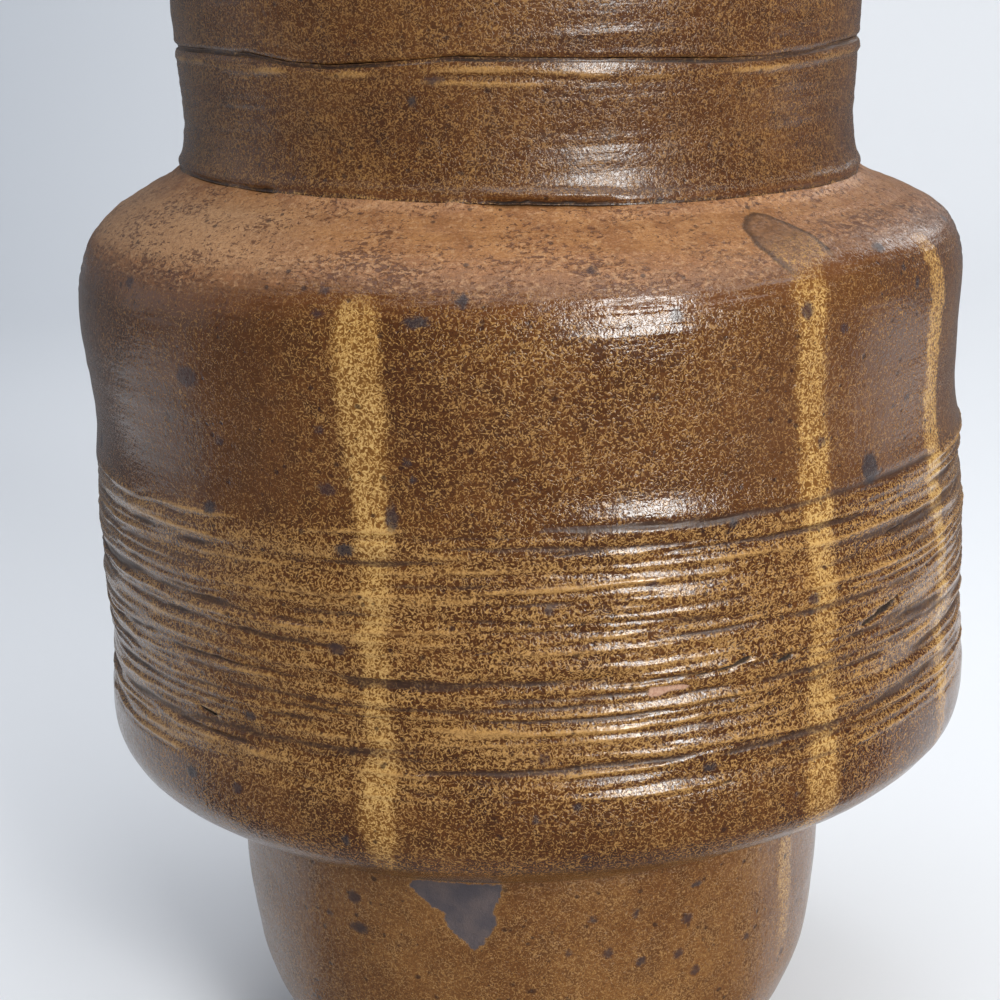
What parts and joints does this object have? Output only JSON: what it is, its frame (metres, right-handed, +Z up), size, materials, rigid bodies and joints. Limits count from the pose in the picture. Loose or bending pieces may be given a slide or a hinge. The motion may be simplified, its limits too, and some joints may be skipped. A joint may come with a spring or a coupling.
{
  "type": "stoneware vase",
  "caption": "Squat stoneware vase: bowl-shaped foot, drum body with a tooled band, rounded shoulder and a wide open neck; stands on a turned foot ring.",
  "frame": {"origin": "centre of the circle the foot ring stands on", "axes": "+Z up along the axis of revolution; -Y is the side seen in the reference view"},
  "size_m": [0.163, 0.163, 0.246],
  "materials": {
    "body_glaze": "satin iron-brown glaze with ochre crystals and brushed ochre stripes",
    "neck_glaze": "satin iron-brown glaze, thinner and more amber towards one side",
    "foot_glaze": "thin satin amber-brown glaze over iron-speckled clay",
    "joint_slip": "fired clay slip, partly glazed over"
  },
  "bodies": {
    "root": {"foot_bowl": "foot_glaze", "foot_joint_slip": "joint_slip", "body_drum": "body_glaze", "neck_joint_slip": "joint_slip", "neck_collar": "neck_glaze", "collar_joint_slip": "joint_slip", "neck_rim": "neck_glaze"}
  },
  "joints": []
}
